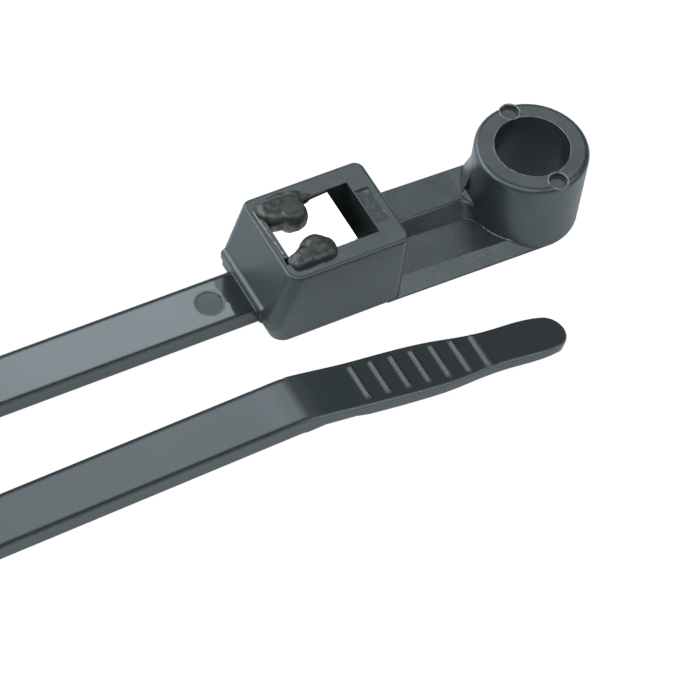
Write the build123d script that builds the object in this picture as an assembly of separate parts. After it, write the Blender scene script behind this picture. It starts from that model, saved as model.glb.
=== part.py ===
from build123d import *
from math import cos, sin, tan, radians, pi
import os

# A self-cutting mounting cable tie, laid out flat with its strap looped back beside itself.
# Frame: +Z up, millimetres. The origin is on the axis of the screw hole, on the seating face.
# +X is the way from the head to the mounting eye, and the strap leaves the head towards -X.

# Strap
STRAP_WIDTH = 4.8
STRAP_THICKNESS = 1.72
STRAP_TOP_AT_HEAD = 2.4        # height of the smooth face where the strap leaves the head
STRAP_BEVEL_WIDTH = 0.34       # bevel beside the smooth face
STRAP_BEVEL_DROP = 0.1
STRAP_EDGE_BREAK = 0.06        # small bevel beside the toothed face

# Teeth moulded into the underside
TOOTH_PITCH = 1.25
TOOTH_DEPTH = 0.55
TOOTH_LAND = 0.22              # flat left between two teeth
TOOTH_TRACK_WIDTH = 3.3
TEETH_START = 9.0              # plain strap beside the head
TEETH_END = 3.0                # plain strap beside the tail

# Mounting eye
EYE_BORE = 6.8
EYE_DIAMETER = 10.26
EYE_HEIGHT = 8.08
EYE_RIM_ROUND = 0.5
EJECTOR_MARK_DIAMETER = 1.56
EJECTOR_MARK_DEPTH = 0.4
EJECTOR_MARK_OFFSET = 4.265    # from the hole's axis, one on each side
EJECTOR_MARK_SHIFT = 0.15      # away from the head
EJECTOR_RING = 0.14            # wall left standing round the mark, through the rounded rim
EJECTOR_RING_DROP = 0.12       # top of that wall below the eye's top

# Neck between the head and the eye: one side level with the strap, the other a lower shelf
EYE_TO_HEAD = 14.77            # hole axis to the near face of the head
NECK_TOP = 2.4
SHELF_TOP = 1.05
NECK_FAR_SIDE = (4.78, 4.33)   # distances from the middle, at the head and at the eye
STEP_TOP = (1.15, 1.02)        # upper and lower edges of the sloping step
STEP_FOOT = (0.35, -0.5)
SHELF_EDGE = (-3.2, -3.95)     # where the shelf starts to slope to its outer edge
NECK_NEAR_SIDE = (-4.83, -5.12)
STEP_ROUND = 0.3
STEP_CORNER_ROUND = 1.0        # hollow corner where the step meets the eye
EYE_FLARE_REACH = 0.65         # the eye's wall runs out over the upper level
EYE_FLARE_HEIGHT = 2.8
EYE_FLARE_START = 1.65         # from the middle of the neck to its far side

# Head
HEAD_LENGTH = 11.68
HEAD_WIDTH = 9.62
HEAD_HEIGHT = 8.32
HEAD_LEAN = 1.5                # the strap end stands this much further out at the strap's face
LEAN_FOOT_Z = 1.6              # it stands upright down to here
HEAD_LEAN_RETURN = 0.65        # and comes back by this much at the seat
HEAD_NECK_ROUND = 0.9          # upright corners on the neck side
HEAD_LEAN_ROUNDS = (1.25, 0.8)  # and on the leaning end, near the shelf's side and away from it
HEAD_RIM_ROUND = 0.32
HEAD_FOOT_ROUND = 0.15

# Ledge at the strap's root, and the rounded bar on it
ROOT_START = -2.95             # across the tie, from one side of the strap
ROOT_END = 4.3                 # to the far corner of the head
LEDGE_REACH = 1.65             # beyond the top edge of the leaning end
LEDGE_BOTTOM = 0.95
LEDGE_CORNER_ROUND = 0.5
LEDGE_CHAMFER = 0.45
BAR_REACH = 1.66
BAR_HEIGHT = 0.75              # above the strap's smooth face
BAR_BULGE = 0.16

# Opening in the top of the head, shared by the blade and the strap slot
END_WALL = 2.28                # wall between the slot and the neck
SLOT_LENGTH = 2.0              # along X, takes the strap's thickness
OPENING_WIDTH = 5.88
BLADE_LENGTH = 6.3
BLADE_WIDTH = 5.74
BLADE_THICKNESS = 0.5
BLADE_TOP_DEPTH = 0.22         # below the rim, at the cutting edge
BLADE_TILT = 3.6               # degrees, dipping towards the strap end
BLADE_END_CLEARANCE = 0.12
CUTTING_BEVEL = 0.75
CUTTING_EDGE = 0.06            # thickness left at the edge
LEDGE_WIDTH = 0.62             # side ledges that carry the blade
LEDGE_LENGTH = 2.1             # ledge under the blade's blunt end
HIDDEN_CLEARANCE = 0.03        # between the blade and the plastic melted over it

# Notches at the corners of the strap end of the opening
NOTCH_WIDTHS = (0.7, 0.42)     # on the shelf's side and away from it
NOTCH_REACH = 0.55
NOTCH_DEPTH = 0.75             # below the blade's top

# Plastic melted over the blade's long edges: lumps as (distance behind the cutting edge,
# distance from the middle, radius), and a long smear on one side
LUMPS = [
    (5.5, -3.0, 0.9),
    (4.85, -2.65, 1.12),
    (3.85, -2.25, 1.3),
    (3.3, -2.55, 1.1),
    (3.85, 1.95, 1.22),
    (5.35, 2.4, 0.98),
]
LUMP_SINK = 0.45               # centres below the rim
SMEAR_ENDS = (5.8, 3.5)
SMEAR_Y = 3.05
SMEAR_RADIUS = 0.95

# Pawl on the strap side of the slot
PAWL_WIDTH = 3.2
PAWL_HINGE_Z = 2.2
PAWL_HINGE_THICKNESS = 0.85
PAWL_TOP_DEPTH = 1.78          # below the top of the head
PAWL_GRIP = 0.5                # how far the pawl's teeth stand into the slot
PAWL_GRIP_STEP = 0.1           # each lower tooth stands out this much less
PAWL_TEETH = 3
PAWL_TOOTH_FLAT = 0.12
PAWL_ROOT_OVERLAP = 0.4        # into the wall that carries the pawl
PAWL_HINGE_LENGTH = 0.9
PAWL_TOP_LENGTH = 1.15
PAWL_FOOT_BACK = 0.5

# Gate mark beside the slot
GATE_MARK_WIDTH = 1.35
GATE_MARK_FROM_NECK = 0.76     # from the neck side of the head
GATE_MARK_START = -2.1
GATE_MARK_END = 1.8
GATE_MARK_DEPTH = 0.16

# Round ejector mark on the smooth face of the strap
STRAP_MARK_DIAMETER = 2.5
STRAP_MARK_DEPTH = 0.1
STRAP_MARK_FROM_HEAD = 16.68   # from the neck side of the head

# Lie of the strap: out, round a turn on its edge, and back
STRAND_SPACING = 14.3
OUT_STRAIGHT_END = -60.0
BACK_STRAIGHT_START = -61.0
TURN_BULGE = 1.9
TURN_END = -97.5
RETURN_RISE = 2.8              # degrees, the returning strand rises to the bend
BEND_X = -31.34
BEND_TOP = 6.18
BEND_RADIUS = 4.5
STATIONS = 26

# Grip tail, bent down at its root so that its tip touches the ground
TAIL_FALL = 10.6               # degrees below level
TAIL_LENGTH = 27.9
# thickness at distances from the bend: thin behind the strap's end, thicker under the ribs
TAIL_THICKNESSES = [(2.3, 1.24), (5.2, 1.12), (6.6, 1.3)]
TAIL_TIP_THICKNESS = 0.9
TAIL_EDGE_ROUND = 0.2
# distances from its middle line to the two sides, at fractions of the length
TAIL_SIDES = [
    (0, 2.4, 2.48),
    (0.11, 2.44, 2.44),
    (0.22, 2.5, 2.35),
    (0.32, 2.55, 2.38),
    (0.43, 2.54, 2.4),
    (0.54, 2.41, 2.28),
    (0.645, 2.06, 2.0),
    (0.753, 1.85, 1.92),
    (0.88, 1.83, 2.03),
    (0.953, 1.58, 1.8),
]
RIB_COUNT = 7
RIB_PITCH = 2.05
RIB_FIRST = 6.6
RIB_LENGTH = 3.45
RIB_WIDTH = 0.42
RIB_HEIGHT = 0.2
RIB_CHAMFER = 0.12

HEAD_X = -EYE_TO_HEAD                      # neck side of the head
HEAD_END = HEAD_X - HEAD_LENGTH            # top edge of the leaning end
OPENING_START = HEAD_X - END_WALL          # slot wall on the neck side
BLADE_EDGE_X = OPENING_START - SLOT_LENGTH
OPENING_END = BLADE_EDGE_X - BLADE_LENGTH - BLADE_END_CLEARANCE
HALF_HEAD = HEAD_WIDTH / 2
PAWL_TOP_Z = HEAD_HEIGHT - PAWL_TOP_DEPTH
EYE_RADIUS = EYE_DIAMETER / 2
BIG = 30.0


def slab(x0, x1, y0, y1, z0, z1):
    """A plain block between two corners."""
    block = Box(x1 - x0, y1 - y0, z1 - z0)
    return Pos((x0 + x1) / 2, (y0 + y1) / 2, (z0 + z1) / 2) * block


def side_profile(points, half_width):
    """A profile drawn in X and Z, made solid equally to both sides of the tie's middle."""
    face = Plane.XZ * make_face(Polyline(*points, close=True))
    return extrude(face, amount=half_width, both=True)


# Mounting eye
def make_eye():
    body = Pos(0, 0, EYE_HEIGHT / 2) * Cylinder(EYE_RADIUS, EYE_HEIGHT)
    rim = body.edges().filter_by(GeomType.CIRCLE).sort_by(Axis.Z)[-1]
    eye = fillet(rim, EYE_RIM_ROUND)
    for side in (-1, 1):
        place = Pos(EJECTOR_MARK_SHIFT, side * EJECTOR_MARK_OFFSET, EYE_HEIGHT)
        boss = Cylinder(EJECTOR_MARK_DIAMETER / 2 + EJECTOR_RING, 2 * EYE_RIM_ROUND)
        eye = eye + (place * Pos(0, 0, -EYE_RIM_ROUND - EJECTOR_RING_DROP) * boss & body)
        eye = eye - place * Cylinder(EJECTOR_MARK_DIAMETER / 2, 2 * EJECTOR_MARK_DEPTH)
    return eye


def neck_section(end):
    """The neck's outline across its length: end 0 is inside the head, end 1 at the eye's axis."""
    outline = Polyline(
        (NECK_NEAR_SIDE[end], 0),
        (SHELF_EDGE[end], SHELF_TOP),
        (STEP_FOOT[end], SHELF_TOP),
        (STEP_TOP[end], NECK_TOP),
        (NECK_FAR_SIDE[end], NECK_TOP),
        (NECK_FAR_SIDE[end], 0),
        close=True,
    )
    x = (HEAD_X - 1.5) * (1 - end)
    return Plane(origin=(x, 0, 0), x_dir=(0, 1, 0), z_dir=(1, 0, 0)) * make_face(outline)


def near_step(edge, low, high):
    """Whether an edge's middle lies beside the step, between two heights."""
    middle = edge.center()
    beside = STEP_FOOT[1] < middle.Y < STEP_TOP[0] + 0.1 and HEAD_X < middle.X < -EYE_RADIUS * 0.9
    return beside and low < middle.Z < high and edge.length > EYE_RADIUS * 0.35


def make_eye_and_neck():
    joined = make_eye() + loft([neck_section(0), neck_section(1)], ruled=True)
    inner = joined.edges().filter_by(lambda e: near_step(e, SHELF_TOP + 0.1, NECK_TOP - 0.1))
    joined = fillet(inner, STEP_CORNER_ROUND)
    upper = joined.edges().filter_by(lambda e: near_step(e, NECK_TOP - 0.01, NECK_TOP + 0.01))
    return fillet(upper, STEP_ROUND)


def make_eye_flare():
    """The eye's wall running out in a long hollow on to the upper level of the neck."""
    top = NECK_TOP + EYE_FLARE_HEIGHT
    radius = (EYE_FLARE_HEIGHT**2 + EYE_FLARE_REACH**2) / (2 * EYE_FLARE_REACH)
    middle = radius - (radius**2 - (EYE_FLARE_HEIGHT / 2) ** 2) ** 0.5
    arc = ThreePointArc(
        (EYE_RADIUS, top),
        (EYE_RADIUS + middle, top - EYE_FLARE_HEIGHT / 2),
        (EYE_RADIUS + EYE_FLARE_REACH, NECK_TOP),
    )
    rest = Polyline(
        (EYE_RADIUS + EYE_FLARE_REACH, NECK_TOP),
        (EYE_RADIUS + EYE_FLARE_REACH, NECK_TOP - 0.5),
        (EYE_RADIUS - 0.6, NECK_TOP - 0.5),
        (EYE_RADIUS - 0.6, top),
        (EYE_RADIUS, top),
    )
    ring = revolve(Plane.XZ * make_face(arc + rest), axis=Axis.Z)
    kept = slab(-EYE_RADIUS - 2, -1.0, EYE_FLARE_START, NECK_FAR_SIDE[1] + 0.04, 0, BIG)
    return ring & kept


# Head
def lean_x(z):
    """Where the leaning end stands at a height above the strap's smooth face."""
    return HEAD_END - HEAD_LEAN * (HEAD_HEIGHT - z) / (HEAD_HEIGHT - STRAP_TOP_AT_HEAD)


def make_head():
    block = side_profile(
        [
            (HEAD_X, 0),
            (HEAD_X, HEAD_HEIGHT),
            (HEAD_END, HEAD_HEIGHT),
            (HEAD_END - HEAD_LEAN, STRAP_TOP_AT_HEAD),
            (HEAD_END - HEAD_LEAN, LEAN_FOOT_Z),
            (HEAD_END - HEAD_LEAN + HEAD_LEAN_RETURN, 0),
        ],
        HALF_HEAD,
    )
    for side, radius in zip((-1, 1), HEAD_LEAN_ROUNDS):
        uprights = block.edges().filter_by(lambda e: abs(e.tangent_at(0.5).Z) > 0.9)
        leaning = uprights.filter_by(lambda e: e.center().X < HEAD_END and e.center().Y * side > 3)
        block = fillet(leaning, radius)
    block = fillet(block.edges().filter_by(Axis.Z).group_by(Axis.X)[-1], HEAD_NECK_ROUND)
    block = fillet(block.faces().sort_by(Axis.Z)[-1].outer_wire().edges(), HEAD_RIM_ROUND)
    block = fillet(block.faces().sort_by(Axis.Z)[0].outer_wire().edges(), HEAD_FOOT_ROUND)
    return block + make_root_ledge() + make_root_bar()


def make_root_ledge():
    """Square-cornered ledge under the leaning end, level with the strap's smooth face."""
    ledge_x = HEAD_END - LEDGE_REACH
    ledge = slab(ledge_x, HEAD_END + 1, ROOT_START, ROOT_END, LEDGE_BOTTOM, STRAP_TOP_AT_HEAD)
    corner = ledge.edges().filter_by(Axis.Z).group_by(Axis.X)[0].sort_by(Axis.Y)[-1]
    ledge = fillet(corner, LEDGE_CORNER_ROUND)
    return chamfer(ledge.faces().sort_by(Axis.Z)[0].edges().group_by(Axis.X)[0], LEDGE_CHAMFER)


def make_root_bar():
    """Rounded bar along the foot of the leaning end, over the strap's root."""
    foot = (HEAD_END - BAR_REACH, STRAP_TOP_AT_HEAD)
    top_z = STRAP_TOP_AT_HEAD + BAR_HEIGHT
    top = (lean_x(top_z), top_z)
    middle = ((foot[0] + top[0]) / 2 - BAR_BULGE, (foot[1] + top[1]) / 2 + BAR_BULGE * 0.5)
    front = ThreePointArc(foot, middle, top)
    back = Polyline(top, (HEAD_END, top_z), (HEAD_END, foot[1] - 0.4), (foot[0], foot[1] - 0.4), foot)
    bar = extrude(Plane.XZ * make_face(front + back), amount=ROOT_START - ROOT_END)
    return Pos(0, ROOT_START, 0) * bar


# Place of the blade: origin on its top face at the cutting edge, local X towards the strap end
BLADE_PLACE = Plane(
    origin=(BLADE_EDGE_X, 0, HEAD_HEIGHT - BLADE_TOP_DEPTH),
    x_dir=(-cos(radians(BLADE_TILT)), 0, -sin(radians(BLADE_TILT))),
    z_dir=(-sin(radians(BLADE_TILT)), 0, cos(radians(BLADE_TILT))),
)


def in_blade_place(x0, x1, half_width, z0, z1):
    """A block in the tilted frame of the blade."""
    return BLADE_PLACE.location * slab(x0, x1, -half_width, half_width, z0, z1)


def make_blade():
    profile = Polyline(
        (0, 0),
        (BLADE_LENGTH, 0),
        (BLADE_LENGTH, -BLADE_THICKNESS),
        (CUTTING_BEVEL, -BLADE_THICKNESS),
        (0, -CUTTING_EDGE),
        close=True,
    )
    plate = extrude(Plane.XZ * make_face(profile), amount=BLADE_WIDTH / 2, both=True)
    return BLADE_PLACE.location * plate


def cut_opening(head):
    half = OPENING_WIDTH / 2
    # strap slot, right through
    head = head - slab(BLADE_EDGE_X - 0.1, OPENING_START, -half, half, -1, BIG)
    # blade pocket down to its tilted seat
    pocket = in_blade_place(-1.0, BLADE_LENGTH + BLADE_END_CLEARANCE, half, -BLADE_THICKNESS, BIG)
    head = head - pocket
    # pawl chamber between the side ledges, open below
    chamber_end = OPENING_END + LEDGE_LENGTH
    chamber_half = half - LEDGE_WIDTH
    head = head - slab(chamber_end, OPENING_START - 0.5, -chamber_half, chamber_half, -1, HEAD_HEIGHT)
    # notches in the two corners at the strap end
    notch_z = HEAD_HEIGHT - BLADE_TOP_DEPTH - NOTCH_DEPTH
    for y0, y1 in ((-half, -half + NOTCH_WIDTHS[0]), (half - NOTCH_WIDTHS[1], half)):
        head = head - slab(OPENING_END - NOTCH_REACH, OPENING_END + 0.3, y0, y1, notch_z, BIG)
    return head


def make_pawl():
    root_x = OPENING_END + LEDGE_LENGTH - PAWL_ROOT_OVERLAP
    face_x = BLADE_EDGE_X
    hinge_top = PAWL_HINGE_Z + PAWL_HINGE_THICKNESS
    points = [
        (root_x, PAWL_HINGE_Z),
        (root_x, hinge_top),
        (root_x + PAWL_HINGE_LENGTH, hinge_top),
        (face_x - PAWL_TOP_LENGTH, PAWL_TOP_Z),
        (face_x + PAWL_GRIP, PAWL_TOP_Z),
    ]
    for tooth in range(1, PAWL_TEETH + 1):
        low = PAWL_TOP_Z - tooth * TOOTH_PITCH
        points.append((face_x, low + PAWL_TOOTH_FLAT))
        if tooth < PAWL_TEETH:
            points.append((face_x + PAWL_GRIP - tooth * PAWL_GRIP_STEP, low))
    points.append((face_x - PAWL_FOOT_BACK, PAWL_HINGE_Z - PAWL_TOOTH_FLAT))
    return side_profile(points, PAWL_WIDTH / 2)


# Plastic melted over the two long edges of the blade
def pill(x0, x1, y, z, radius):
    """A round-ended bar along X."""
    bar = Pos((x0 + x1) / 2, y, z) * Rot(0, 90, 0) * Cylinder(radius, x1 - x0)
    return bar + Pos(x0, y, z) * Sphere(radius) + Pos(x1, y, z) * Sphere(radius)


def make_melted_lumps():
    rim = HEAD_HEIGHT
    start, end = [BLADE_EDGE_X - back for back in SMEAR_ENDS]
    lumps = pill(start, end, SMEAR_Y, rim - LUMP_SINK, SMEAR_RADIUS)
    for back, y, radius in LUMPS:
        lumps = lumps + Pos(BLADE_EDGE_X - back, y, rim - LUMP_SINK) * Sphere(radius)
    half_top = HALF_HEAD - HEAD_RIM_ROUND
    lumps = lumps & slab(HEAD_END, HEAD_X, -half_top, half_top, rim - 2.2, BIG)
    half = BLADE_WIDTH / 2 + HIDDEN_CLEARANCE
    return lumps - in_blade_place(-1, BLADE_LENGTH + 1, half, -3.0, HIDDEN_CLEARANCE)


# Strap section, drawn with the smooth face up and its middle at the origin
def strap_section():
    half = STRAP_WIDTH / 2
    up = STRAP_THICKNESS / 2
    return [
        (-half + STRAP_BEVEL_WIDTH, up),
        (half - STRAP_BEVEL_WIDTH, up),
        (half, up - STRAP_BEVEL_DROP),
        (half, -up + STRAP_EDGE_BREAK),
        (half - STRAP_EDGE_BREAK, -up),
        (-half + STRAP_EDGE_BREAK, -up),
        (-half, -up + STRAP_EDGE_BREAK),
        (-half, up - STRAP_BEVEL_DROP),
    ]


def place_on(point, along, normal):
    """Plane across the strap: local X over its width, local Y out of its smooth face."""
    return Plane(origin=point, x_dir=normal.cross(along), z_dir=along)


def section_face(plane):
    return plane * make_face(Polyline(*strap_section(), close=True))


def ease(t):
    t = min(max(t, 0.0), 1.0)
    return t * t * t * (t * (6 * t - 15) + 10)


# Lie of the strap
OUT_MIDDLE_Z = STRAP_TOP_AT_HEAD - STRAP_THICKNESS / 2
RISE = radians(RETURN_RISE)
BEND_MIDDLE = Vector(
    BEND_X + STRAP_THICKNESS / 2 * sin(RISE), -STRAND_SPACING, BEND_TOP - STRAP_THICKNESS / 2 * cos(RISE)
)
BACK_ALONG = Vector(cos(RISE), 0, sin(RISE))
BACK_NORMAL = Vector(-sin(RISE), 0, cos(RISE))
BEND_ANGLE = RETURN_RISE + TAIL_FALL
BEND_REACH = BEND_RADIUS * tan(radians(BEND_ANGLE / 2))
BACK_LENGTH = (BEND_X - BACK_STRAIGHT_START) / cos(RISE) - BEND_REACH
BACK_START = BEND_MIDDLE - BACK_ALONG * (BACK_LENGTH + BEND_REACH)
BACK_END = BEND_MIDDLE - BACK_ALONG * BEND_REACH
TURN_MIDDLE_Y = -STRAND_SPACING / 2

TURN_PATH = Spline(
    (OUT_STRAIGHT_END, 0),
    (OUT_STRAIGHT_END - 17, TURN_BULGE * 0.55),
    (OUT_STRAIGHT_END - 28, TURN_BULGE),
    (TURN_END + 2.4, TURN_MIDDLE_Y + 5.6),
    (TURN_END, TURN_MIDDLE_Y),
    (TURN_END + 2.4, TURN_MIDDLE_Y - 5.6),
    (OUT_STRAIGHT_END - 28, -STRAND_SPACING - TURN_BULGE),
    (OUT_STRAIGHT_END - 17, -STRAND_SPACING - TURN_BULGE * 0.55),
    (BACK_STRAIGHT_START, -STRAND_SPACING),
    tangents=[(-1, 0), (1, 0)],
)


def turn_frame(t):
    """Point, direction and smooth-face normal at a fraction of the way round the turn."""
    flat = TURN_PATH @ t
    along = TURN_PATH % t
    lean = ease(t / 0.3) * ease((1 - t) / 0.3)
    angle = pi / 2 * lean
    half_height = STRAP_THICKNESS / 2 * cos(angle) + STRAP_WIDTH / 2 * sin(angle)
    lift_out = OUT_MIDDLE_Z - STRAP_THICKNESS / 2
    lift_back = BACK_START.Z - STRAP_THICKNESS / 2
    lift = lift_out * (1 - ease(t / 0.4)) + lift_back * ease((t - 0.6) / 0.4)
    point = Vector(flat.X, flat.Y, half_height + lift + 0.02 * lean)
    outward = Vector(along.Y, -along.X, 0)
    normal = Vector(0, 0, 1) * cos(angle) + outward * sin(angle)
    return point, Vector(along.X, along.Y, 0), normal


def turn_station(t):
    """Frame square to the real rise of the strap at this place."""
    point, along, normal = turn_frame(t)
    if t <= 0:
        return Vector(OUT_STRAIGHT_END, 0, OUT_MIDDLE_Z), Vector(-1, 0, 0), Vector(0, 0, 1)
    if t >= 1:
        return BACK_START, BACK_ALONG, BACK_NORMAL
    before = turn_frame(max(t - 0.004, 0))[0]
    after = turn_frame(min(t + 0.004, 1))[0]
    along = (after - before).normalized()
    normal = (normal - along * normal.dot(along)).normalized()
    return point, along, normal


def make_strap():
    out_start = Vector(HEAD_END - 0.4, 0, OUT_MIDDLE_Z)
    out_along = Vector(-1, 0, 0)
    out_length = out_start.X - OUT_STRAIGHT_END
    up = Vector(0, 0, 1)
    out = extrude(section_face(place_on(out_start, out_along, up)), amount=out_length)
    stations = []
    for number in range(STATIONS + 1):
        point, along, normal = turn_station(number / STATIONS)
        stations.append(section_face(place_on(point, along, normal)))
    turn = loft(stations)
    back = extrude(section_face(place_on(BACK_START, BACK_ALONG, BACK_NORMAL)), amount=BACK_LENGTH)
    centre = BACK_END + BACK_NORMAL * (STRAP_THICKNESS / 2 - BEND_RADIUS)
    bend = revolve(
        section_face(place_on(BACK_END, BACK_ALONG, BACK_NORMAL)),
        axis=Axis(centre, (0, 1, 0)),
        revolution_arc=BEND_ANGLE,
    )
    return out + turn + back + bend


def notch_places():
    """Frames of the tooth gaps, from the head end to the tail end."""
    turn_length = TURN_PATH.length
    out_start = HEAD_END - TEETH_START
    out_length = out_start - OUT_STRAIGHT_END
    total = out_length + turn_length + BACK_LENGTH - TEETH_END
    places = []
    for number in range(int(total / TOOTH_PITCH)):
        s = number * TOOTH_PITCH
        if s <= out_length:
            place = (Vector(out_start - s, 0, OUT_MIDDLE_Z), Vector(-1, 0, 0), Vector(0, 0, 1))
        elif s < out_length + turn_length:
            place = turn_station((s - out_length) / turn_length)
        else:
            place = (BACK_START + BACK_ALONG * (s - out_length - turn_length), BACK_ALONG, BACK_NORMAL)
        places.append(place)
    return places


def make_notches():
    """Saw-tooth gaps: a steep wall on the tail side and a ramp on the head side."""
    under = -STRAP_THICKNESS / 2
    ramp = TOOTH_PITCH - TOOTH_LAND
    profile = Polyline(
        (0, under + TOOTH_DEPTH), (0, under - 0.2), (-ramp, under - 0.2), (-ramp, under), close=True
    )
    gap = extrude(Plane.XZ * make_face(profile), amount=TOOTH_TRACK_WIDTH / 2, both=True)
    notches = []
    for point, along, normal in notch_places():
        across = Plane(origin=point, x_dir=along, z_dir=normal)
        notches.append(across.location * gap)
    return notches


# Grip tail
TAIL_PLACE = Plane(
    origin=(BEND_X, -STRAND_SPACING, BEND_TOP),
    x_dir=(cos(radians(TAIL_FALL)), 0, -sin(radians(TAIL_FALL))),
    z_dir=(sin(radians(TAIL_FALL)), 0, cos(radians(TAIL_FALL))),
)


def make_tail():
    near = [(f * TAIL_LENGTH, -w) for f, w, other in TAIL_SIDES]
    far = [(f * TAIL_LENGTH, w) for f, other, w in reversed(TAIL_SIDES)]
    side = Spline(*near)
    tip = ThreePointArc(near[-1], (TAIL_LENGTH, (near[-1][1] + far[0][1]) / 2), far[0])
    other = Spline(*far)
    root = Line(far[-1], near[0])
    outline = make_face(Wire([side.edge(), tip.edge(), other.edge(), root.edge()]))
    blank = Pos(0, 0, -3) * extrude(outline, amount=3)
    underside = [(x, -thickness) for x, thickness in TAIL_THICKNESSES]
    start = [(BEND_REACH, 0), (BEND_REACH, -STRAP_THICKNESS)]
    end = [(TAIL_LENGTH + 1, -TAIL_TIP_THICKNESS), (TAIL_LENGTH + 1, 0)]
    wedge = side_profile(start + underside + end, BIG)
    tail = blank & wedge
    tail = fillet(tail.faces().sort_by(Axis.Z)[-1].edges().sort_by(Axis.X)[1:], TAIL_EDGE_ROUND)
    for number in range(RIB_COUNT):
        x = RIB_FIRST + number * RIB_PITCH
        rib = Pos(x, 0, 0) * Box(RIB_WIDTH, RIB_LENGTH, 2 * RIB_HEIGHT)
        rib = chamfer(rib.edges().filter_by(Axis.Y).group_by(Axis.Z)[-1], RIB_CHAMFER)
        tail = tail + rib
    return TAIL_PLACE.location * tail


def make_gate_mark():
    """Shallow mark that slopes down towards one end."""
    slope = Polyline(
        (GATE_MARK_START, 0), (GATE_MARK_END, 0), (GATE_MARK_END, -GATE_MARK_DEPTH), close=True
    )
    mark = extrude(Plane.YZ * make_face(slope), amount=GATE_MARK_WIDTH)
    return Pos(HEAD_X - GATE_MARK_FROM_NECK - GATE_MARK_WIDTH, 0, HEAD_HEIGHT) * mark


def make_tie():
    bored = make_eye_and_neck() + make_eye_flare()
    bored = bored + cut_opening(make_head())
    bored = bored - Pos(0, 0, EYE_HEIGHT / 2) * Cylinder(EYE_BORE / 2, EYE_HEIGHT + 2)
    bored = bored - make_gate_mark()
    strap = make_strap() - make_notches()
    mark = Cylinder(STRAP_MARK_DIAMETER / 2, 2 * STRAP_MARK_DEPTH)
    strap = strap - Pos(HEAD_X - STRAP_MARK_FROM_HEAD, 0, STRAP_TOP_AT_HEAD) * mark
    return bored + strap + make_tail() + make_pawl() + make_melted_lumps()


def single_solid(shape):
    solids = shape.solids()
    print("solids:", len(solids), "volumes:", [round(s.volume, 3) for s in solids])
    return max(solids, key=lambda s: s.volume)


os.makedirs("parts", exist_ok=True)
export_step(single_solid(make_tie()), "parts/tie_body.step")
export_step(single_solid(make_blade()), "parts/cutting_blade.step")
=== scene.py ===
# %% [markdown]
# # A self-cutting mounting cable tie
# The object is a cable tie moulded in one shot of black nylon: a toothed strap, a grip tail, a
# locking head and a mounting eye. A bright steel blade lies in the top of the head, held by two
# lumps of plastic melted over its edges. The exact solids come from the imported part. This lesson
# gives them their finishes, adds the melted plastic in fine detail, and lights the scene.

# %% Load the solids
from math import cos, pi, radians, sin, tan

import bmesh
import bpy
from mathutils import Euler, Matrix, Vector
from mathutils import noise as mathutils_noise


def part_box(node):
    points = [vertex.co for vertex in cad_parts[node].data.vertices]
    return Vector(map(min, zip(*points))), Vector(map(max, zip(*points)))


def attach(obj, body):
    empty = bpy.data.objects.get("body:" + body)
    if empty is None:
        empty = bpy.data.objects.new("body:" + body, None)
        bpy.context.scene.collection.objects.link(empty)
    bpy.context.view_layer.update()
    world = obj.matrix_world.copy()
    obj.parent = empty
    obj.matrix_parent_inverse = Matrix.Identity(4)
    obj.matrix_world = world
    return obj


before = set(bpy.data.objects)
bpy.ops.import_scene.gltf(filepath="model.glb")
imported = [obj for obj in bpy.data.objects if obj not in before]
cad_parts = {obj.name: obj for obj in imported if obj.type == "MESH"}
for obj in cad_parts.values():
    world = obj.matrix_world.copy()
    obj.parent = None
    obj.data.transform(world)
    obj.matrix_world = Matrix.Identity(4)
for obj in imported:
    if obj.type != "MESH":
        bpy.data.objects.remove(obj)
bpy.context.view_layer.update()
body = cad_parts["tie_body"]
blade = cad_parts["cutting_blade"]
low_corner, high_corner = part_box("tie_body")
print("tie body from", [round(v, 4) for v in low_corner], "to", [round(v, 4) for v in high_corner])

# %% [markdown]
# Every place below is worked out from a few sizes of the object. The screw hole's axis is the
# origin, the head lies towards -X, and the strap runs on from it. Blender counts in metres, so the
# sizes are written in millimetres and multiplied by MM.

# %% Sizes and places
MM = 0.001
HEAD_FACE_X = -14.77 * MM  # the side of the head that faces the eye
HEAD_LENGTH = 11.68 * MM
HEAD_TOP = 8.32 * MM
HEAD_END_X = HEAD_FACE_X - HEAD_LENGTH  # the top edge of the leaning end
ROOT_BAR_X = HEAD_END_X - 1.66 * MM  # the bar across the strap's root
STRAP_TOP = 2.4 * MM
STRAP_MARK_PLACE = (HEAD_FACE_X - 16.68 * MM, 0.0, STRAP_TOP)
BLADE_EDGE_X = HEAD_FACE_X - 4.28 * MM  # the cutting edge, beside the slot
print("head from", round(HEAD_END_X, 5), "to", round(HEAD_FACE_X, 5))

# %% [markdown]
# A finish is a small network of nodes. Three helpers build any network: one starts a material
# with its shader, one adds a node with its settings, and one links a value to the shader.

# %% Helpers for nodes
def start_material(name):
    """A new material with a Principled shader linked to its output."""
    material = bpy.data.materials.new(name)
    material.use_nodes = True
    material.node_tree.nodes.clear()
    output = material.node_tree.nodes.new("ShaderNodeOutputMaterial")
    shader = material.node_tree.nodes.new("ShaderNodeBsdfPrincipled")
    material.node_tree.links.new(shader.outputs[0], output.inputs["Surface"])
    return material, shader


def add(material, kind, settings=None, **inputs):
    """A node of this kind. Inputs are numbers, colours or the sockets of other nodes."""
    node = material.node_tree.nodes.new("ShaderNode" + kind)
    for name, value in (settings or {}).items():
        setattr(node, name, value)
    for name, value in inputs.items():
        # i0, i1 and so on count the inputs, and any other word is an input's own name
        key = int(name[1:]) if name[1:].isdigit() else name.replace("_", " ")
        if isinstance(value, bpy.types.NodeSocket):
            material.node_tree.links.new(value, node.inputs[key])
        else:
            node.inputs[key].default_value = value
    return node


def link(material, value, shader, socket):
    material.node_tree.links.new(value, shader.inputs[socket])


print("node helpers ready")

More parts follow.
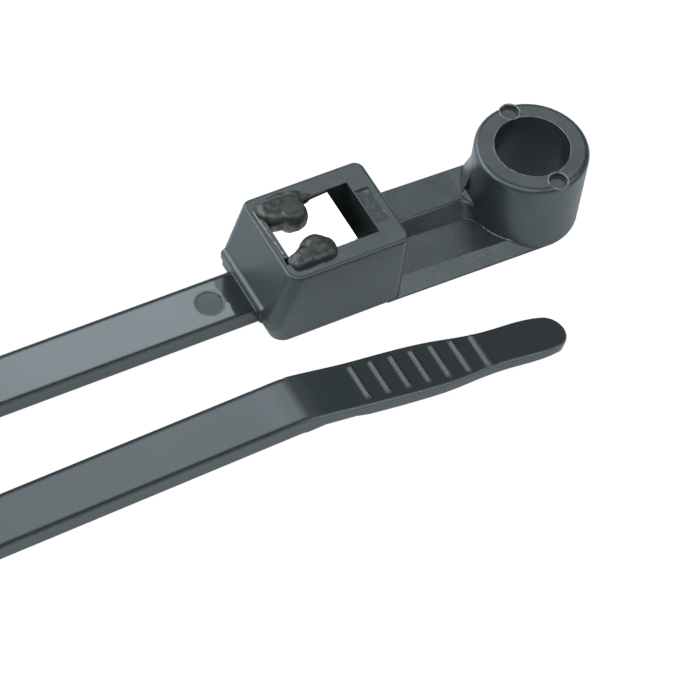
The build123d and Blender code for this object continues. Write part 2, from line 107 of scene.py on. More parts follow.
# %% [markdown]
# These helpers are the steps that a finish is made of. A mask is 1 where a finish lies and 0
# elsewhere, and the product of several masks is 1 only where all of them are. All patterns use
# Object coordinates, so they stay on the part when it moves.

# %% Helpers for masks and patterns
def math(material, operation, first, second=0.0):
    return add(material, "Math", {"operation": operation}, i0=first, i1=second).outputs[0]


def times(material, first, *others):
    """The product of several masks or numbers."""
    for other in others:
        first = math(material, "MULTIPLY", first, other)
    return first


def ramp(material, value, low, high, to_low=0.0, to_high=1.0):
    """A soft step from to_low to to_high as the value goes from low to high."""
    node = add(
        material, "MapRange", {"interpolation_type": "SMOOTHSTEP"},
        Value=value, From_Min=low, From_Max=high, To_Min=to_low, To_Max=to_high,
    )
    return node.outputs[0]


def inside(material, value, low, high, soft):
    """1 between low and high, falling softly to 0 outside."""
    rise = ramp(material, value, low - soft, low)
    fall = ramp(material, value, high, high + soft, 1.0, 0.0)
    return times(material, rise, fall)


def noise(material, place, scale, detail, roughness):
    """A cloudy pattern. The scale is about the number of clouds to the metre."""
    node = add(
        material, "TexNoise", None,
        Vector=place, Scale=scale, Detail=detail, Roughness=roughness,
    )
    return node.outputs["Fac"]


def mix(material, factor, first, second):
    node = add(material, "Mix", {"data_type": "FLOAT"}, i0=factor, i2=first, i3=second)
    return node.outputs[0]


def mix_colour(material, factor, first, second):
    node = add(material, "Mix", {"data_type": "RGBA"}, i0=factor, i6=first, i7=second)
    return node.outputs[2]


NOISE_SPREAD = (0.3, 0.7)  # most of a noise lies between these
PATCH_SPREAD = (0.35, 0.65)  # a narrower range, which sets patches off more clearly
print("mask and pattern helpers ready")

# %% [markdown]
# The mould was polished for the strap and the tail, which are glossy, and eroded more coarsely for
# the head and the eye, which are satin. One material with masks holds both, because the body is a
# single moulding. The strap is polished up to the bar at its root, and the strand that comes back
# beside the head is found by its place across the tie. The round ejector mark in the strap's face
# is satin too.

# %% Nylon: polished strap and satin head
BESIDE_HEAD_Y = (-9.0 * MM, -8.8 * MM)  # in the gap between the head and the strand beside it
STRAP_MARK_RIM = (1.20 * MM, 1.26 * MM)

nylon, nylon_shader = start_material("moulded_nylon")
place = add(nylon, "TexCoord").outputs["Object"]
axes = add(nylon, "SeparateXYZ", None, Vector=place).outputs
before_head = ramp(nylon, axes["X"], ROOT_BAR_X - 0.1 * MM, ROOT_BAR_X, 1.0, 0.0)
beside_head = ramp(nylon, axes["Y"], *BESIDE_HEAD_Y, 1.0, 0.0)
polished = math(nylon, "MAXIMUM", before_head, beside_head)
from_mark = add(
    nylon, "VectorMath", {"operation": "DISTANCE"}, i0=place, i1=STRAP_MARK_PLACE,
).outputs["Value"]
mark_mask = ramp(nylon, from_mark, *STRAP_MARK_RIM, 1.0, 0.0)
strap_mask = math(nylon, "MINIMUM", polished, math(nylon, "SUBTRACT", 1.0, mark_mask))
print("polished up to x", round(ROOT_BAR_X, 5))

# %% [markdown]
# Three places differ from what is round them. The returning strand is duller at its bend before
# the tail. The gate mark, a shallow sloping recess in the head's top, is rough torn plastic. The
# neck is grainier than the head.

# %% Nylon: bend, gate and neck
BEND_X = -31.34 * MM
BEND_STARTS = (BEND_X - 3.6 * MM, BEND_X - 0.4 * MM)
BEND_ENDS = (BEND_X + 0.5 * MM, BEND_X + 2.6 * MM)
GATE_X = (HEAD_FACE_X - 2.10 * MM, HEAD_FACE_X - 0.78 * MM)
GATE_Y = (-2.1 * MM, 1.8 * MM)
GATE_Z = (HEAD_TOP - 0.3 * MM, HEAD_TOP - 0.2 * MM)
GATE_SOFTNESS = 0.05 * MM
NECK_X = (HEAD_FACE_X, -5.6 * MM)
NECK_Z = (2.6 * MM, 2.7 * MM)
NECK_SOFTNESS = 0.3 * MM

bend_mask = times(
    nylon,
    ramp(nylon, axes["X"], *BEND_STARTS),
    ramp(nylon, axes["X"], *BEND_ENDS, 1.0, 0.0),
    beside_head,
)
gate_mask = times(
    nylon,
    inside(nylon, axes["X"], *GATE_X, GATE_SOFTNESS),
    inside(nylon, axes["Y"], *GATE_Y, GATE_SOFTNESS),
    ramp(nylon, axes["Z"], *GATE_Z),
)
neck_mask = times(
    nylon,
    inside(nylon, axes["X"], *NECK_X, NECK_SOFTNESS),
    ramp(nylon, axes["Z"], *NECK_Z, 1.0, 0.0),
)
print("gate mark", round((GATE_Y[1] - GATE_Y[0]) / MM, 2), "mm across the head")

# %% [markdown]
# A moulded edge is never sharp. The Bevel node rounds the shading of every edge, more on the strap
# than on the head. The strap's near edge gets a painted highlight: its colour is made paler where
# its rounding catches the light. That edge is found by its rounded normal, which points between up
# and sideways. Where the strap rolls on to its edge for the turn, its faces point that way too, so
# the painted highlight fades out there.

# %% Nylon: rounded edges and a painted edge highlight
SATIN_ROUND = 0.12 * MM
POLISHED_ROUND = 0.30 * MM
HIGHLIGHT_NORMAL_Y = (-0.82, -0.52)
HIGHLIGHT_NORMAL_Z = (0.30, 0.90)
PAINTED_HIGHLIGHT_X = (-62.0 * MM, -58.0 * MM)

edge_round = mix(nylon, strap_mask, SATIN_ROUND, POLISHED_ROUND)
rounded = add(nylon, "Bevel", {"samples": 4}, Radius=edge_round).outputs[0]
facing = add(nylon, "SeparateXYZ", None, Vector=rounded).outputs
# Painted highlight: this mask marks the strap's lit near rounding, which is made paler below.
painted_edge_highlight = times(
    nylon,
    inside(nylon, facing["Y"], *HIGHLIGHT_NORMAL_Y, soft=0.08),
    inside(nylon, facing["Z"], *HIGHLIGHT_NORMAL_Z, soft=0.10),
    strap_mask,
    ramp(nylon, axes["X"], *PAINTED_HIGHLIGHT_X),
)
print("edges rounded by", SATIN_ROUND / MM, "and", POLISHED_ROUND / MM, "mm")

# %% [markdown]
# The nylon is a dark blue-green charcoal, a little mottled. Torn plastic turns pale in specks,
# which is called stress whitening. What is the same all over is set on the shader itself, and what
# varies is linked to it.

# %% Nylon: colour and gloss
NYLON_IOR = 1.53
NYLON_DARK = (0.010, 0.0145, 0.0155, 1.0)
NYLON_LIGHT = (0.017, 0.022, 0.023, 1.0)
STRESS_WHITE = (0.09, 0.10, 0.10, 1.0)
EDGE_HIGHLIGHT_GREY = (0.085, 0.095, 0.095, 1.0)
SATIN_ROUGHNESS = (0.30, 0.38)
POLISHED_ROUGHNESS = (0.09, 0.13)
BEND_ROUGHNESS = 0.27

nylon_shader.inputs["IOR"].default_value = NYLON_IOR
nylon_shader.inputs["Specular IOR Level"].default_value = 0.9
nylon_shader.inputs["Specular Tint"].default_value = (0.80, 0.92, 1.0, 1.0)
mottle = noise(nylon, place, scale=420.0, detail=5.0, roughness=0.6)
cloud = noise(nylon, place, scale=90.0, detail=3.0, roughness=0.5)
torn = noise(nylon, place, scale=2300.0, detail=4.0, roughness=0.75)
stress_whitened = times(nylon, gate_mask, ramp(nylon, torn, 0.5, 0.72))
base = mix_colour(nylon, mottle, NYLON_DARK, NYLON_LIGHT)
base = mix_colour(nylon, stress_whitened, base, STRESS_WHITE)
# Painted highlight: the strap's near edge is coloured paler where its rounding catches the light.
base = mix_colour(nylon, painted_edge_highlight, base, EDGE_HIGHLIGHT_GREY)
link(nylon, base, nylon_shader, "Base Color")
satin = ramp(nylon, mottle, *NOISE_SPREAD, *SATIN_ROUGHNESS)
gloss = ramp(nylon, cloud, *NOISE_SPREAD, *POLISHED_ROUGHNESS)
gloss = mix(nylon, bend_mask, gloss, BEND_ROUGHNESS)
link(nylon, mix(nylon, strap_mask, satin, gloss), nylon_shader, "Roughness")
print("nylon colour from", NYLON_DARK[:3], "to", NYLON_LIGHT[:3])

# %% [markdown]
# The strap dips a little towards the head, from a ragged line beside the ejector mark, so it
# mirrors less of the lamp there. The dip is too slight to model. A Bump node whose height falls
# evenly along the strap tilts the surface by DIP_SLOPE instead, and a mask keeps that to the dip.

# %% Nylon: dip before the head
DIP_START_X = -30.05 * MM
DIP_SLOPE = 0.085
DIP_SOFTNESS = 0.03 * MM
DIP_SIDE_Y = (-4.0 * MM, -3.0 * MM)  # keeps the dip off the returning strand
RAGGED_REACH = 1.0 * MM

wobble = noise(nylon, place, scale=1100.0, detail=5.0, roughness=0.8)
ragged = times(nylon, math(nylon, "SUBTRACT", wobble, 0.5), RAGGED_REACH)
ragged_x = math(nylon, "ADD", axes["X"], ragged)
dip_mask = times(
    nylon,
    ramp(nylon, ragged_x, DIP_START_X - DIP_SOFTNESS, DIP_START_X + DIP_SOFTNESS),
    ramp(nylon, axes["X"], ROOT_BAR_X - 0.05 * MM, ROOT_BAR_X, 1.0, 0.0),
    ramp(nylon, axes["Y"], *DIP_SIDE_Y),
)
height = times(nylon, axes["X"], -DIP_SLOPE)
tilted = add(nylon, "Bump", None, Strength=1.0, Distance=1.0, Height=height, Normal=rounded)
dipped = add(
    nylon, "Mix", {"data_type": "VECTOR"}, i0=dip_mask, i4=rounded, i5=tilted.outputs[0],
).outputs[1]
print("dip from x", round(DIP_START_X, 5), "to", round(ROOT_BAR_X, 5))

# %% [markdown]
# Two more bumps follow: the torn plastic of the gate mark, and the fine grain that the mould
# leaves. The grain is clear on the head, clearer on the neck and nearly gone on the polished
# strap.

# %% Nylon: torn plastic and grain
TORN_STRENGTH = 0.6
TORN_DEPTH = 0.12 * MM
GRAIN_DEPTH = 0.05 * MM
GRAIN_ON_HEAD = 0.28
GRAIN_ON_NECK = 0.6
GRAIN_ON_STRAP = 0.02

torn_strength = times(nylon, gate_mask, TORN_STRENGTH)
coarse = add(
    nylon, "Bump", None,
    Strength=torn_strength, Distance=TORN_DEPTH, Height=torn, Normal=dipped,
).outputs[0]
grain = noise(nylon, place, scale=4200.0, detail=3.0, roughness=0.7)
grain_strength = mix(nylon, neck_mask, GRAIN_ON_HEAD, GRAIN_ON_NECK)
grain_strength = mix(nylon, strap_mask, grain_strength, GRAIN_ON_STRAP)
fine = add(
    nylon, "Bump", None,
    Strength=grain_strength, Distance=GRAIN_DEPTH, Height=grain, Normal=coarse,
).outputs[0]
link(nylon, fine, nylon_shader, "Normal")
body.data.materials.clear()
body.data.materials.append(nylon)
print("nylon on", body.name, "with", len(nylon.node_tree.nodes), "nodes")

# %% [markdown]
# The blade is bright ground steel. It mirrors the lamp above it, so it shows nearly white. Very
# fine grinding lines run along it, from a noise that a Mapping node squeezes across the blade.
# Nylon has left a grey smudge in the near corner of the cutting edge.

# %% Blade steel
STEEL_DARK = (0.57, 0.575, 0.57, 1.0)
STEEL_LIGHT = (0.63, 0.63, 0.62, 1.0)
SMUDGE_GREY = (0.10, 0.10, 0.10, 1.0)
STEEL_ROUGHNESS = (0.11, 0.16)
GRINDING = (300.0, 9000.0, 300.0)  # the pattern's scale along, across and up
LINE_DEPTH = 0.02 * MM
SMUDGE_X = (BLADE_EDGE_X - 1.0 * MM, BLADE_EDGE_X - 0.4 * MM)
SMUDGE_Y = (-2.75 * MM, -2.30 * MM)

steel, steel_shader = start_material("blade_steel")
steel_shader.inputs["Metallic"].default_value = 1.0
steel_place = add(steel, "TexCoord").outputs["Object"]
steel_axes = add(steel, "SeparateXYZ", None, Vector=steel_place).outputs
squeezed = add(steel, "Mapping", None, Vector=steel_place, Scale=GRINDING).outputs[0]
lines = noise(steel, squeezed, scale=1.0, detail=3.0, roughness=0.6)
film = noise(steel, steel_place, scale=700.0, detail=4.0, roughness=0.6)
specks = noise(steel, steel_place, scale=1900.0, detail=4.0, roughness=0.7)
smudge = times(
    steel,
    ramp(steel, steel_axes["Y"], *SMUDGE_Y, 1.0, 0.0),
    ramp(steel, steel_axes["X"], *SMUDGE_X),
    ramp(steel, specks, 0.40, 0.62),
)
bright = mix_colour(steel, film, STEEL_DARK, STEEL_LIGHT)
link(steel, mix_colour(steel, smudge, bright, SMUDGE_GREY), steel_shader, "Base Color")
link(steel, ramp(steel, lines, *NOISE_SPREAD, *STEEL_ROUGHNESS), steel_shader, "Roughness")
lines_bump = add(steel, "Bump", None, Strength=0.08, Distance=LINE_DEPTH, Height=lines)
link(steel, lines_bump.outputs[0], steel_shader, "Normal")
blade.data.materials.clear()
blade.data.materials.append(steel)
print("steel on", blade.name)

# %% [markdown]
# After moulding, the plastic beside the two long edges of the blade is melted over it. Each lump
# is one mass that ran together, so it is built from overlapping icospheres, pulled into a single
# skin by a Remesh modifier and then roughened along its normals. It is modelled in millimetres,
# because the smallest voxel that Blender allows is then far finer than the lump, and scaled down
# at the end.

# %% Helpers for melted plastic
RIM = HEAD_TOP / MM  # the head's top, in millimetres
SKIN_VOXEL = 0.06


def blob(shape, x, y, z, size_x, size_y, size_z):
    """One rounded mass at a place in millimetres. Sizes are half lengths."""
    made = bmesh.ops.create_icosphere(shape, subdivisions=4, radius=1.0)["verts"]
    place = Matrix.Translation((x, y, z)) @ Matrix.Diagonal((size_x, size_y, size_z, 1.0))
    bmesh.ops.transform(shape, matrix=place, verts=made)


def one_skin(name, shape, rounds):
    """The blobs pulled into one closed skin, which is smoothed this many times."""
    rough = bpy.data.meshes.new(name + "_rough")
    shape.to_mesh(rough)
    shape.free()
    thing = bpy.data.objects.new(name + "_rough", rough)
    bpy.context.scene.collection.objects.link(thing)
    remesh = thing.modifiers.new("one_skin", "REMESH")
    remesh.mode = "VOXEL"
    remesh.voxel_size = SKIN_VOXEL
    evaluated = thing.evaluated_get(bpy.context.evaluated_depsgraph_get())
    skin = bmesh.new()
    skin.from_mesh(evaluated.to_mesh())
    evaluated.to_mesh_clear()
    bpy.data.objects.remove(thing)
    bpy.data.meshes.remove(rough)
    for _ in range(rounds):
        bmesh.ops.smooth_vert(
            skin, verts=skin.verts, factor=0.5, use_axis_x=True, use_axis_y=True, use_axis_z=True,
        )
    return skin


def roughen(shape, swell, bumps):
    """Swell the skin along its normals, and roughen it by noises, each a (size, depth)."""
    shape.normal_update()
    moves = []
    for vertex in shape.verts:
        push = swell + sum(
            depth * mathutils_noise.noise(vertex.co / size) for size, depth in bumps
        )
        moves.append(vertex.normal * push)
    for vertex, move in zip(shape.verts, moves):
        vertex.co += move


print("skin voxel", SKIN_VOXEL, "mm")

# %% [markdown]
# Every new piece ends in the same way: its faces are turned outwards and shaded smooth, it gets
# its material, and it is set to ride on the tie's one body.

# %% Helper that finishes a piece
def finish_piece(name, shape, material):
    """A smooth-shaded piece in metres that rides on the tie."""
    bmesh.ops.recalc_face_normals(shape, faces=shape.faces)
    for face in shape.faces:
        face.smooth = True
    mesh = bpy.data.meshes.new(name)
    shape.to_mesh(mesh)
    shape.free()
    mesh.materials.append(material)
    piece = bpy.data.objects.new(name, mesh)
    bpy.context.scene.collection.objects.link(piece)
    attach(piece, "root")
    print(name, "has", len(mesh.polygons), "faces")
    return piece


print("new pieces ride on the tie's one body")

# %% [markdown]
# Melted nylon sets with a duller and more uneven skin than the mould gives. It is the same
# plastic, a shade lighter and less blue, with patches that are smoother than others.

# %% Melted nylon
MELT_DARK = (0.012, 0.014, 0.013, 1.0)
MELT_LIGHT = (0.030, 0.031, 0.028, 1.0)
MELT_ROUGHNESS = (0.28, 0.48)
MELT_BUMP_DEPTH = 0.05 * MM

melt, melt_shader = start_material("melted_nylon")
melt_shader.inputs["IOR"].default_value = NYLON_IOR
melt_shader.inputs["Specular IOR Level"].default_value = 0.6
melt_shader.inputs["Specular Tint"].default_value = (0.86, 0.95, 1.0, 1.0)
melt_place = add(melt, "TexCoord").outputs["Object"]
melt_grain = noise(melt, melt_place, scale=2600.0, detail=4.0, roughness=0.7)
melt_patches = noise(melt, melt_place, scale=900.0, detail=3.0, roughness=0.6)
link(melt, mix_colour(melt, melt_patches, MELT_DARK, MELT_LIGHT), melt_shader, "Base Color")
link(melt, ramp(melt, melt_patches, *PATCH_SPREAD, *MELT_ROUGHNESS), melt_shader, "Roughness")
melt_bump = add(melt, "Bump", None, Strength=0.6, Distance=MELT_BUMP_DEPTH, Height=melt_grain)
link(melt, melt_bump.outputs[0], melt_shader, "Normal")
print("melted nylon from", MELT_DARK[:3], "to", MELT_LIGHT[:3])

# %% [markdown]
# The near lump is a dome with a lower tongue towards the strap. The first four blobs are a little
# larger than the plain lumps of the solid, and cover them. The rest build its outer side and the
# tongue. The outer side is nearly straight, so what bulges past it is drawn back to a small share.

# %% Near lump
NEAR_SIDE_Y = -3.78
NEAR_SIDE_BULGE = 0.15

near_lump = bmesh.new()
for place_and_size in [
    (-24.75, -3.00, RIM - 0.40, 0.96, 0.98, 1.00),
    (-23.90, -2.82, RIM - 0.40, 1.14, 1.16, 1.14),
    (-22.95, -2.30, RIM - 0.40, 1.36, 1.38, 1.34),
    (-22.35, -2.62, RIM - 0.40, 1.20, 1.20, 1.16),
    (-25.00, -3.20, RIM + 0.06, 0.62, 0.62, 0.52),
    (-24.30, -3.24, RIM + 0.08, 0.72, 0.60, 0.54),
    (-23.50, -3.26, RIM + 0.08, 0.72, 0.60, 0.54),
    (-22.70, -3.24, RIM + 0.10, 0.72, 0.60, 0.56),
    (-22.05, -3.16, RIM + 0.10, 0.60, 0.60, 0.56),
    (-25.35, -2.80, RIM - 0.12, 0.46, 0.56, 0.44),
]:
    blob(near_lump, *place_and_size)
near_lump = one_skin("near_lump", near_lump, rounds=24)
roughen(near_lump, swell=0.09, bumps=[(1.2, 0.12), (0.45, 0.05), (0.16, 0.022)])
for vertex in near_lump.verts:
    past_side = vertex.co.y - NEAR_SIDE_Y
    vertex.co.y = max(vertex.co.y, NEAR_SIDE_Y + NEAR_SIDE_BULGE * past_side)
bmesh.ops.scale(near_lump, vec=(MM, MM, MM), verts=near_lump.verts)
near_lump = finish_piece("melted_lump_near", near_lump, melt)

# %% [markdown]
# The far lump spread more. The first five blobs cover the plain lumps of the solid. The others
# make a flat-topped pad over the blade, a low smear towards the head's far wall and a thin tip
# towards the slot. What rises past the pad's top is pressed down to about a third.

# %% Far lump
PAD_TOP = 9.05
PAD_BULGE = 0.3

far_lump = bmesh.new()
for place_and_size in [
    (-24.85, 3.05, RIM - 0.42, 1.02, 1.02, 0.98),
    (-23.70, 3.10, RIM - 0.42, 1.30, 1.05, 0.99),
    (-22.60, 3.05, RIM - 0.42, 1.05, 1.02, 0.98),
    (-24.40, 2.40, RIM - 0.42, 1.05, 1.08, 1.04),
    (-22.90, 1.95, RIM - 0.42, 1.30, 1.30, 1.28),
    (-23.35, 1.75, RIM + 0.15, 0.80, 0.80, 0.66),
    (-22.50, 1.70, RIM + 0.15, 0.72, 0.80, 0.66),
    (-22.60, 2.40, RIM + 0.12, 0.80, 0.60, 0.62),
    (-24.70, 2.50, RIM + 0.10, 0.90, 0.62, 0.46),
    (-24.80, 3.60, RIM - 0.02, 0.90, 0.50, 0.24),
    (-23.50, 3.85, RIM - 0.02, 1.20, 0.50, 0.26),
    (-22.20, 3.60, RIM - 0.02, 0.90, 0.50, 0.22),
    (-21.40, 3.05, RIM - 0.02, 0.80, 0.22, 0.22),
    (-23.95, 2.45, RIM + 0.10, 0.95, 0.70, 0.52),
]:
    blob(far_lump, *place_and_size)
far_lump = one_skin("far_lump", far_lump, rounds=36)
roughen(far_lump, swell=0.10, bumps=[(1.4, 0.05), (0.5, 0.012)])
for vertex in far_lump.verts:
    past_top = vertex.co.z - PAD_TOP
    vertex.co.z = min(vertex.co.z, PAD_TOP + PAD_BULGE * past_top)
bmesh.ops.scale(far_lump, vec=(MM, MM, MM), verts=far_lump.verts)
far_lump = finish_piece("melted_lump_far", far_lump, melt)

# %% [markdown]
# Flash is the thin skin of plastic that creeps into the joints of a mould. On this tie it shows
# paler than the rest, in worn patches. That pale colour is also a painted highlight for the light
# that the thin ridges of flash catch.

# %% Flash nylon
FLASH_DARK = (0.04, 0.045, 0.045, 1.0)
FLASH_PALE_AND_HIGHLIGHT = (0.17, 0.18, 0.18, 1.0)
FLASH_ROUGHNESS = (0.30, 0.45)

flash_and_highlight, flash_shader = start_material("flash_nylon_and_painted_highlight")
flash_shader.inputs["IOR"].default_value = NYLON_IOR
flash_shader.inputs["Specular IOR Level"].default_value = 0.9
flash_place = add(flash_and_highlight, "TexCoord").outputs["Object"]
flash_patches = noise(flash_and_highlight, flash_place, scale=2600.0, detail=3.0, roughness=0.6)
# The pale end of these patches is partly a painted highlight on the thin ridges.
worn_and_highlight = ramp(flash_and_highlight, flash_patches, *PATCH_SPREAD)
link(flash_and_highlight, mix_colour(flash_and_highlight, worn_and_highlight, FLASH_DARK, FLASH_PALE_AND_HIGHLIGHT), flash_shader, "Base Color")
flash_gloss = ramp(flash_and_highlight, flash_patches, *NOISE_SPREAD, *FLASH_ROUGHNESS)
link(flash_and_highlight, flash_gloss, flash_shader, "Roughness")
print("flash from", FLASH_DARK[:3], "to", FLASH_PALE_AND_HIGHLIGHT[:3])

# %% [markdown]
# Most of the flash stands as a fine round bead, so one helper makes them all: a small circle spun
# about an axis, closed at its ends if it is an arc, and pushed in and out a little by noise.

# %% Helper for beads
BEAD_SIDES = 8
BEAD_STEP = 3  # degrees of the spin for each ring of faces
WANDER_LENGTH = 0.35 * MM


def bead(name, middle, radius, thickness, start=0.0, sweep=360.0, tilt=0.0, wander=0.0, squash=1.0):
    """A round bead along a circle or an arc. Angles are in degrees, anticlockwise from +X."""
    shape = bmesh.new()
    ring = bmesh.ops.create_circle(shape, radius=thickness, segments=BEAD_SIDES, cap_ends=False)
    turned = Matrix.Rotation(radians(start), 4, "Z")
    upright = Matrix.Rotation(radians(90), 4, "X")
    to_start = turned @ Matrix.Translation((radius, 0, 0)) @ upright
    bmesh.ops.transform(shape, matrix=to_start, verts=ring["verts"])
    full = sweep >= 360.0
    bmesh.ops.spin(
        shape, geom=shape.edges[:], cent=(0, 0, 0), axis=(0, 0, 1), angle=radians(sweep),
        steps=int(sweep / BEAD_STEP), use_merge=full, use_duplicate=False,
    )
    if not full:
        bmesh.ops.holes_fill(shape, edges=shape.edges[:], sides=BEAD_SIDES)
    bmesh.ops.scale(shape, vec=(1, 1, squash), verts=shape.verts)
    for vertex in shape.verts:
        push = wander * mathutils_noise.noise(vertex.co / WANDER_LENGTH)
        vertex.co += Vector((vertex.co.x, vertex.co.y, 0)).normalized() * push
    in_place = Matrix.Translation(middle) @ Matrix.Rotation(radians(tilt), 4, "X")
    bmesh.ops.transform(shape, matrix=in_place, verts=shape.verts)
    return finish_piece(name, shape, flash_and_highlight)


print("a full bead has", 360 // BEAD_STEP, "rings of", BEAD_SIDES, "faces")

# %% [markdown]
# Beads stand round the two ejector marks of the eye, along the mouth of the screw hole, and in the
# corner between the eye and the low shelf. The two rings lean outwards a little, because the marks
# run into the rounded rim of the eye.

# %% Beads on the eye
EYE_TOP = 8.08 * MM
EYE_RADIUS = 5.13 * MM
BORE_RADIUS = 3.4 * MM
SHELF_TOP = 1.05 * MM
EYE_MARK_X = 0.15 * MM
EYE_MARK_Y = 4.265 * MM
MARK_RING_TILT = 3.0

for name, side in (("mark_ring_near", -1), ("mark_ring_far", 1)):
    bead(
        name, (EYE_MARK_X, side * EYE_MARK_Y, EYE_TOP - 0.05 * MM),
        radius=0.90 * MM, thickness=0.085 * MM, tilt=-side * MARK_RING_TILT, wander=0.03 * MM,
    )
bead(
    "bore_edge_flash", (0, 0, EYE_TOP - 0.02 * MM),
    radius=BORE_RADIUS + 0.03 * MM, thickness=0.05 * MM, wander=0.05 * MM,
)
# This bead is a painted highlight: a pale line that stands for the light caught by the small fillet
# in the corner between the eye and the shelf.
bead(
    "shelf_corner_painted_highlight", (0, 0, SHELF_TOP),
    radius=EYE_RADIUS + 0.02 * MM, thickness=0.07 * MM, start=197.0, sweep=34.0, wander=0.02 * MM,
)

# %% [markdown]
# A lip of flash runs along the strap end of the blade's pocket. It is a thin bar, cut into short
# lengths so that noise can make it wave, with its sharp edges bevelled.

# %% Pocket lip
LIP_SIZE = (0.20 * MM, 5.3 * MM, 0.26 * MM)
LIP_MIDDLE = (-25.92 * MM, 0.75 * MM, HEAD_TOP - 0.01 * MM)
LIP_TURN = 2.6
LIP_WAVE = 0.025 * MM
LIP_WAVE_LENGTH = 0.8 * MM
LIP_ROUND = 0.07 * MM
SHARP_ANGLE = 1.0  # radians between the faces of a sharp edge

lip = bmesh.new()
bmesh.ops.create_cube(lip, size=1.0)
bmesh.ops.scale(lip, vec=LIP_SIZE, verts=lip.verts)
lengthwise = [e for e in lip.edges if abs((e.verts[0].co - e.verts[1].co).y) > MM]
bmesh.ops.subdivide_edges(lip, edges=lengthwise, cuts=24)
lip_place = Matrix.Translation(LIP_MIDDLE) @ Matrix.Rotation(radians(LIP_TURN), 4, "Z")
bmesh.ops.transform(lip, matrix=lip_place, verts=lip.verts)
for vertex in lip.verts:
    along = Vector((0.0, vertex.co.y / LIP_WAVE_LENGTH, 0.0))
    vertex.co.x += LIP_WAVE * mathutils_noise.noise(along)
sharp_edges = [e for e in lip.edges if e.calc_face_angle(0.0) > SHARP_ANGLE]
bmesh.ops.bevel(
    lip, geom=sharp_edges, offset=LIP_ROUND, affect="EDGES", segments=3, profile=0.5, material=-1,
)
# The lip's pale colour is partly a painted highlight along its top edge.
lip = finish_piece("pocket_lip", lip, flash_and_highlight)

# %% [markdown]
# One more bead stands at the edge of the strap's ejector mark, on the side towards the head. It is
# an arc, flattened to little more than half its height.

# %% Bead on the strap
# Its pale colour is partly a painted highlight: the bright crescent where the mark's wall catches
# the light.
bead(
    "strap_mark_edge", STRAP_MARK_PLACE, radius=1.24 * MM, thickness=0.05 * MM,
    start=270.0, sweep=120.0, wander=0.02 * MM, squash=0.6,
)

# %% [markdown]
# The eye's wall runs out over the upper level of the neck in a hollow flare. Its end is not cut
# square: a small sloping facet leads from it down to the edge of the step. Six corners and a
# convex hull give the facet.

# %% End of the flare
facet = bmesh.new()
for x, y, z in [
    (-5.22, 1.62, 2.92), (-5.72, 1.52, 2.38), (-5.03, -0.36, 2.40),
    (-4.60, 1.62, 2.90), (-4.60, 0.00, 2.38), (-4.70, 1.60, 2.38),
]:
    facet.verts.new((x * MM, y * MM, z * MM))
bmesh.ops.convex_hull(facet, input=facet.verts)
facet = finish_piece("flare_end", facet, nylon)
facet.data.shade_flat()

# %% [markdown]
# The photograph was taken on a pure white sheet, so the floor is a plain plane, far larger than
# the view.

# %% Floor
floor_mesh = bpy.data.meshes.new("floor")
plane = bmesh.new()
bmesh.ops.create_grid(plane, x_segments=1, y_segments=1, size=4.0)
plane.to_mesh(floor_mesh)
plane.free()
floor = bpy.data.objects.new("floor", floor_mesh)
bpy.context.scene.collection.objects.link(floor)
print("floor", round(floor.dimensions.x, 2), "m wide")

# %% [markdown]
# The sheet is a dull pale surface with a white glow mixed in. The camera sees nearly all glow, and
# a faint soft shadow in what is left of the surface. Reflections get only a small share of it, and
# the light that the sheet throws back on the tie comes from the surface alone.

# %% White sheet
SHEET_COLOUR = (0.80, 0.86, 0.89, 1.0)
SHEET_GLOW = 1.05
WHITE_TO_CAMERA = 0.92
WHITE_TO_REFLECTIONS = 0.12

paper, paper_shader = start_material("white_sheet")
paper_shader.inputs["Base Color"].default_value = SHEET_COLOUR
paper_shader.inputs["Roughness"].default_value = 1.0
paper_shader.inputs["Specular IOR Level"].default_value = 0.0
glow = add(paper, "Emission", None, Color=(1.0, 1.0, 1.0, 1.0), Strength=SHEET_GLOW)
rays = add(paper, "LightPath").outputs
mirrored = math(paper, "MAXIMUM", rays["Is Glossy Ray"], rays["Is Transmission Ray"])
from_camera = times(paper, rays["Is Camera Ray"], WHITE_TO_CAMERA)
from_gloss = times(paper, mirrored, WHITE_TO_REFLECTIONS)
whiteness = math(paper, "MAXIMUM", from_camera, from_gloss)
sheet = add(
    paper, "MixShader", None, i0=whiteness, i1=paper_shader.outputs[0], i2=glow.outputs[0],
)
output = next(n for n in paper.node_tree.nodes if n.type == "OUTPUT_MATERIAL")
paper.node_tree.links.new(sheet.outputs[0], output.inputs["Surface"])
floor.data.materials.append(paper)
print("white to the camera", WHITE_TO_CAMERA, "and to reflections", WHITE_TO_REFLECTIONS)

# %% [markdown]
# Glossy plastic is mostly what it reflects, so the lamps are placed by what mirrors them. The flat
# faces mirror the wide lamp and the strong lamp towards the camera, which gives the strap its
# sheen. The fill lamp lights the head's side. The front lamp gives the near roundings a thin line
# of light. The back lamp is low, and lights the floor behind the head, which the leaning end and
# the bar at the strap's root mirror.

# %% Lamps
LOOK_AT = Vector((-0.026, -0.004, 0.004))


def soft_lamp(name, azimuth, elevation, distance, width, height, radiance):
    """A lamp seen from the object in this direction, in degrees. Radiance 1 shows as white."""
    level = cos(radians(elevation))
    direction = Vector((
        level * cos(radians(azimuth)), level * sin(radians(azimuth)), sin(radians(elevation)),
    ))
    lamp = bpy.data.lights.new(name, "AREA")
    lamp.shape = "RECTANGLE"
    lamp.size = 2 * distance * tan(radians(width / 2))
    lamp.size_y = 2 * distance * tan(radians(height / 2))
    lamp.energy = radiance * pi * lamp.size * lamp.size_y
    thing = bpy.data.objects.new(name, lamp)
    thing.location = LOOK_AT + direction * distance
    thing.rotation_euler = direction.to_track_quat("Z", "Y").to_euler()
    bpy.context.scene.collection.objects.link(thing)
    print(name, round(lamp.size, 3), "by", round(lamp.size_y, 3), "m")


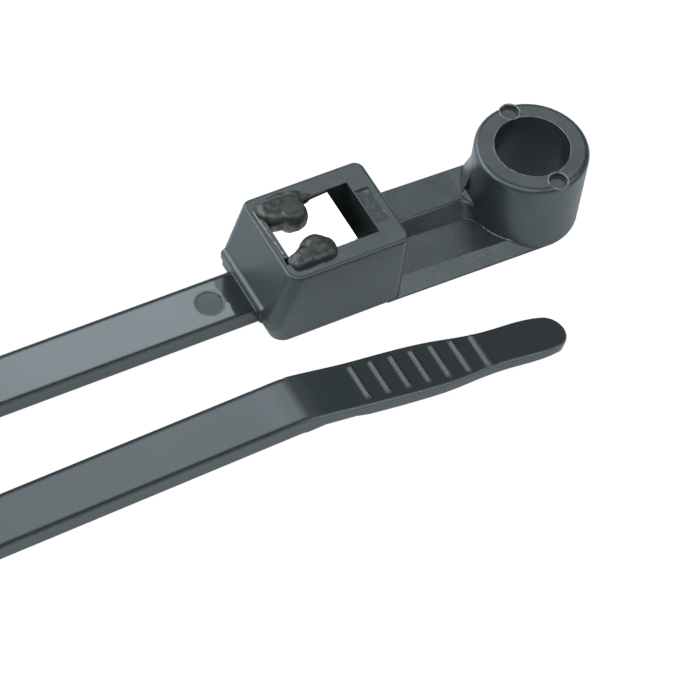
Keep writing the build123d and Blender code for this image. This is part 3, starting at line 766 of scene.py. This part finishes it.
for name_and_numbers in [
    # azimuth, elevation, distance, width, height, radiance
    ("wide_lamp", 66.0, 57.0, 0.9, 20.0, 20.0, 1.62),
    ("strong_lamp", 55.0, 49.5, 0.85, 24.0, 13.0, 1.5),
    ("fill_lamp", -135.0, 58.0, 1.0, 50.0, 40.0, 2.3),
    ("front_lamp", -42.0, 46.0, 0.9, 38.0, 28.0, 2.4),
    ("back_lamp", 140.0, 30.0, 0.4, 80.0, 36.0, 3.5),
]:
    soft_lamp(*name_and_numbers)

# %% [markdown]
# The room around is a dim, slightly cool grey, so the tilted tail, which mirrors it, stays dark.
# To the camera the room is nearly white, like the sheet.

# %% Room
ROOM_COLOUR = (0.92, 0.98, 1.0, 1.0)
ROOM_LIGHT = 0.26

world = bpy.data.worlds.new("room")
bpy.context.scene.world = world
world.use_nodes = True
nodes = world.node_tree.nodes
nodes.clear()
room_output = nodes.new("ShaderNodeOutputWorld")
room = nodes.new("ShaderNodeBackground")
path = nodes.new("ShaderNodeLightPath")
strength = nodes.new("ShaderNodeMapRange")
room.inputs["Color"].default_value = ROOM_COLOUR
strength.inputs["To Min"].default_value = ROOM_LIGHT
strength.inputs["To Max"].default_value = 1.0
world.node_tree.links.new(path.outputs["Is Camera Ray"], strength.inputs["Value"])
world.node_tree.links.new(strength.outputs[0], room.inputs["Strength"])
world.node_tree.links.new(room.outputs[0], room_output.inputs["Surface"])
print("room light", ROOM_LIGHT)

# %% [markdown]
# The camera looks down on the tie from the front left with a long lens, a little rolled, as a hand
# camera over a table. Its place was found by matching the edges of the head, the eye and the
# strap.

# %% Camera
VIEW_AZIMUTH = -36.35
VIEW_ELEVATION = 52.80
VIEW_ROLL = 9.605
CAMERA_PLACE = Vector((-144.58, -174.90, 273.08)) * MM
LENS_IN_FRAME_WIDTHS = 5.6802

scene = bpy.context.scene
scene.view_settings.view_transform = "Standard"
camera_data = bpy.data.cameras.new("camera")
camera_data.sensor_width = 36.0
camera_data.lens = LENS_IN_FRAME_WIDTHS * camera_data.sensor_width
camera_data.clip_start = 0.01
camera_data.clip_end = 20.0
camera = bpy.data.objects.new("camera", camera_data)
unrolled = Euler((radians(90.0 - VIEW_ELEVATION), 0.0, radians(VIEW_AZIMUTH))).to_matrix()
aimed = unrolled @ Matrix.Rotation(radians(VIEW_ROLL), 3, "Z")
camera.matrix_world = Matrix.Translation(CAMERA_PLACE) @ aimed.to_4x4()
scene.collection.objects.link(camera)
scene.camera = camera
print("camera looks along", [round(v, 4) for v in aimed @ Vector((0, 0, -1))])
